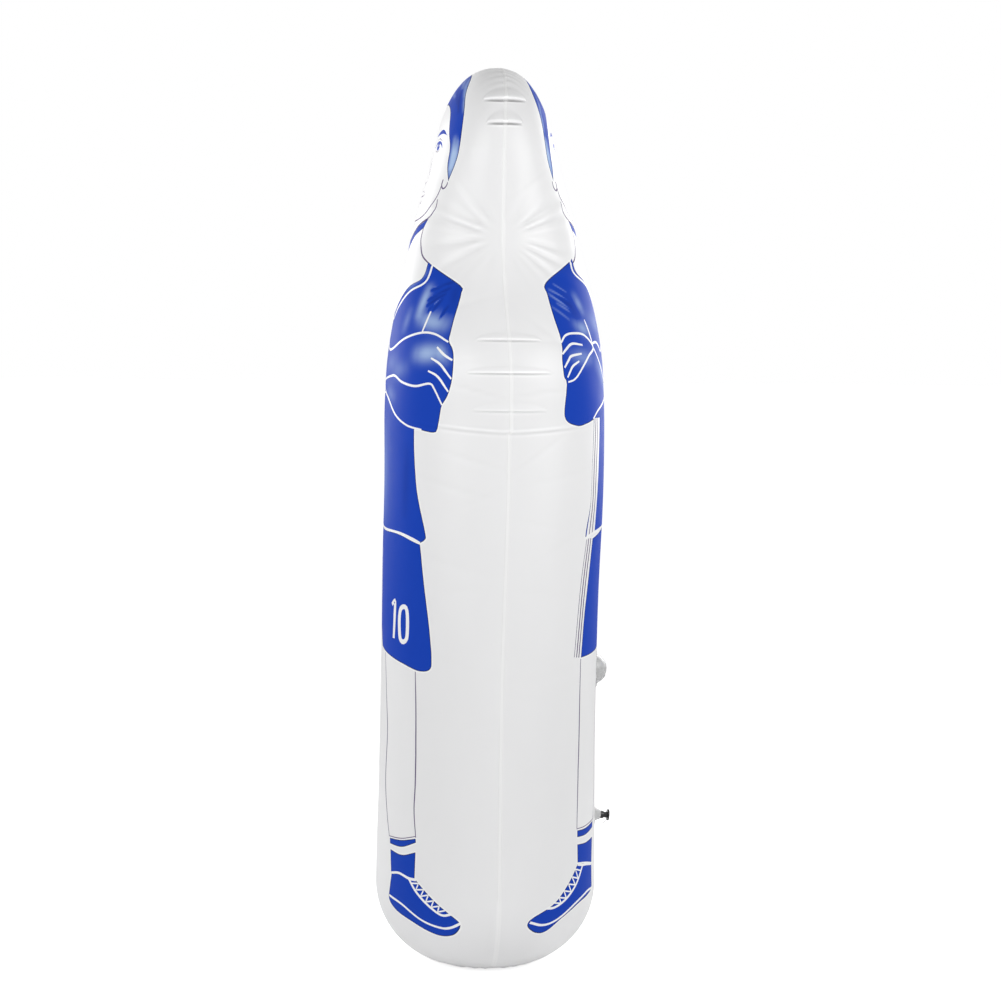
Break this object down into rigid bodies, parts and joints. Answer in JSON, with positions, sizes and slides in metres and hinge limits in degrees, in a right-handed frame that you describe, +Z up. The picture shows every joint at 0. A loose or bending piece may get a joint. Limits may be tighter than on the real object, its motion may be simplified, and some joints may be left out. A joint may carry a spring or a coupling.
{
  "type": "inflatable free kick mannequin",
  "caption": "Inflatable player-shaped free kick mannequin: a tall two-panel vinyl tumbler with a rounded water-filled base, an air valve and a water filler with a stopper.",
  "frame": {"origin": "middle of the flat round footprint, on the floor", "axes": "+Z up along the body, the player's front panel faces -Y, the back panel with both valves faces +Y, +X is the player's left hand side"},
  "size_m": [0.4175, 0.4267, 1.5998],
  "materials": {
    "printed_vinyl": "glossy printed PVC film",
    "welded_vinyl": "glossy white PVC film, welded",
    "clear_vinyl": "clear soft PVC",
    "black_stopper": "glossy black soft PVC",
    "bag_vinyl": "plain PVC film",
    "water": "clear"
  },
  "bodies": {
    "envelope": {"front_panel": "printed_vinyl", "back_panel": "printed_vinyl", "side_seam_band": "welded_vinyl", "base_weld_ring": "welded_vinyl", "base_panel": "welded_vinyl", "water_bag_wall": "bag_vinyl", "water_bag_top": "bag_vinyl", "water_bag_collar": "clear_vinyl", "water_fill": "water", "air_valve_body": "clear_vinyl", "air_valve_strap": "clear_vinyl", "water_valve_body": "clear_vinyl", "water_plug_strap": "clear_vinyl"},
    "air_cap": {"air_valve_cap": "clear_vinyl"},
    "check_flap": {"air_valve_flap": "clear_vinyl"},
    "water_stopper": {"water_plug": "black_stopper"}
  },
  "joints": [
    {"name": "air_cap_pull", "type": "slide", "parent": "envelope", "child": "air_cap", "axis": [0, 0.7071, -0.7071], "range_m": [0, 0.03], "deforming": ["air_valve_strap"]},
    {"name": "check_flap_swing", "type": "hinge", "parent": "envelope", "child": "check_flap", "pos_m": [0, 0.19516, 0.5425], "axis": [-1, 0, 0], "range_deg": [0, 55], "stiffness_Nm_per_rad": 0.0002},
    {"name": "water_plug_pull", "type": "slide", "parent": "envelope", "child": "water_stopper", "axis": [0, 0.9962, -0.0872], "range_m": [0, 0.03], "deforming": ["water_plug_strap"]}
  ]
}
